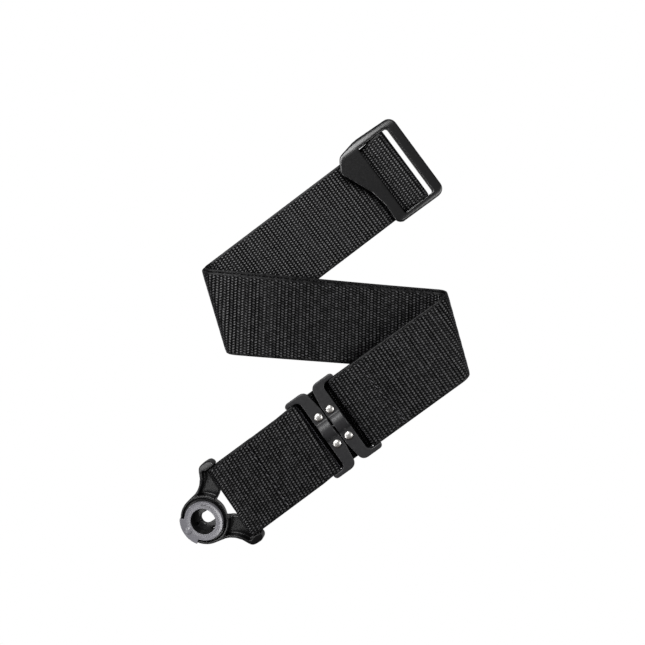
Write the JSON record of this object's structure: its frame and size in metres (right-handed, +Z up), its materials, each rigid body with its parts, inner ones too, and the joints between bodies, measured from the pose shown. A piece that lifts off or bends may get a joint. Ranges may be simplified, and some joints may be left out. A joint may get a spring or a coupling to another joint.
{
  "type": "guitar strap",
  "caption": "Guitar strap of doubled webbing folded in a Z, with a rotating-dial strap-button lock, a hinged adjuster in the band and a loop buckle.",
  "frame": {"origin": "on the resting plane, under the centre of the folded strap's bounding box", "axes": "+Z up from the resting plane; +Y towards the loop-buckle end of the folded strap; +X to the right of someone looking down at it with the buckle at the top"},
  "size_m": [0.1834, 0.2704, 0.0188],
  "materials": {
    "webbing": "woven, matt with a slight sheen",
    "thread": "satin thread",
    "lock_plastic": "satin to gloss moulding",
    "dial_plastic": "satin",
    "frame_plastic": "satin",
    "buckle_plastic": "satin",
    "inner_plastic": "satin",
    "steel": "polished"
  },
  "bodies": {
    "band": {"webbing": "webbing", "lock_end_stitching": "thread", "adjuster_end_stitching": "thread"},
    "lock": {"lock_body": "lock_plastic", "lock_back_cover": "lock_plastic", "lock_bar": "steel", "jaw_spring_left": "steel", "jaw_spring_right": "steel", "cover_screw_1": "steel", "cover_screw_2": "steel", "cover_screw_3": "steel", "cover_screw_4": "steel"},
    "dial": {"release_dial": "dial_plastic", "dial_retaining_ring": "steel"},
    "left_jaw": {"jaw_left": "inner_plastic"},
    "right_jaw": {"jaw_right": "inner_plastic"},
    "buckle": {"loop_buckle": "buckle_plastic"},
    "lock_side_frame": {"adjuster_frame_lock_side": "frame_plastic", "clamp_plate_lock_side": "steel", "rivet_lock_side_left": "steel", "rivet_lock_side_right": "steel"},
    "strap_side_frame": {"adjuster_frame_strap_side": "frame_plastic", "clamp_plate_strap_side": "steel", "rivet_strap_side_left": "steel", "rivet_strap_side_right": "steel"},
    "link": {"swivel_link": "steel"}
  },
  "joints": [
    {"name": "lock_pivot", "type": "hinge", "parent": "band", "child": "lock", "pos_m": [-0.0573, -0.1064, 0.0123], "axis": [-0.5721, 0.8202, 0], "range_deg": [-60, 80]},
    {"name": "dial_turn", "type": "hinge", "parent": "lock", "child": "dial", "pos_m": [-0.07442, -0.11835, 0.00326], "axis": [-0.1705, -0.119, 0.9781], "range_deg": [0, 28], "stiffness_Nm_per_rad": 0.05, "springref_deg": -9.74},
    {"name": "jaw_left_slide", "type": "slide", "parent": "lock", "child": "left_jaw", "axis": [-0.5721, 0.8202, 0], "range_m": [0, 0.0042], "deforming": ["jaw_spring_left"]},
    {"name": "jaw_right_slide", "type": "slide", "parent": "lock", "child": "right_jaw", "axis": [0.5721, -0.8202, 0], "range_m": [0, 0.0042], "deforming": ["jaw_spring_right"]},
    {"name": "buckle_pivot", "type": "hinge", "parent": "band", "child": "buckle", "pos_m": [0.04906, 0.10519, 0.0034], "axis": [-0.5934, 0.8049, 0], "range_deg": [0, 40]},
    {"name": "adjuster_lock_side_pivot", "type": "hinge", "parent": "band", "child": "lock_side_frame", "pos_m": [-0.00687, -0.06824, 0.0138], "axis": [0.5841, -0.8117, 0], "range_deg": [0, 6]},
    {"name": "adjuster_strap_side_pivot", "type": "hinge", "parent": "band", "child": "strap_side_frame", "pos_m": [0.01813, -0.05025, 0.0138], "axis": [-0.5841, 0.8117, 0], "range_deg": [0, 5.5]},
    {"name": "adjuster_link_tilt", "type": "hinge", "parent": "lock_side_frame", "child": "link", "pos_m": [0.0015, -0.06223, 0.0148], "axis": [0.5841, -0.8117, 0], "range_deg": [-6, 0]}
  ],
  "couplings": [
    {"joint": "jaw_left_slide", "follows": "dial_turn", "m_per_rad": 0.00849},
    {"joint": "jaw_right_slide", "follows": "dial_turn", "m_per_rad": 0.00849},
    {"joint": "adjuster_strap_side_pivot", "follows": "adjuster_lock_side_pivot", "ratio": 0.9115},
    {"joint": "adjuster_link_tilt", "follows": "adjuster_lock_side_pivot", "ratio": -1}
  ]
}
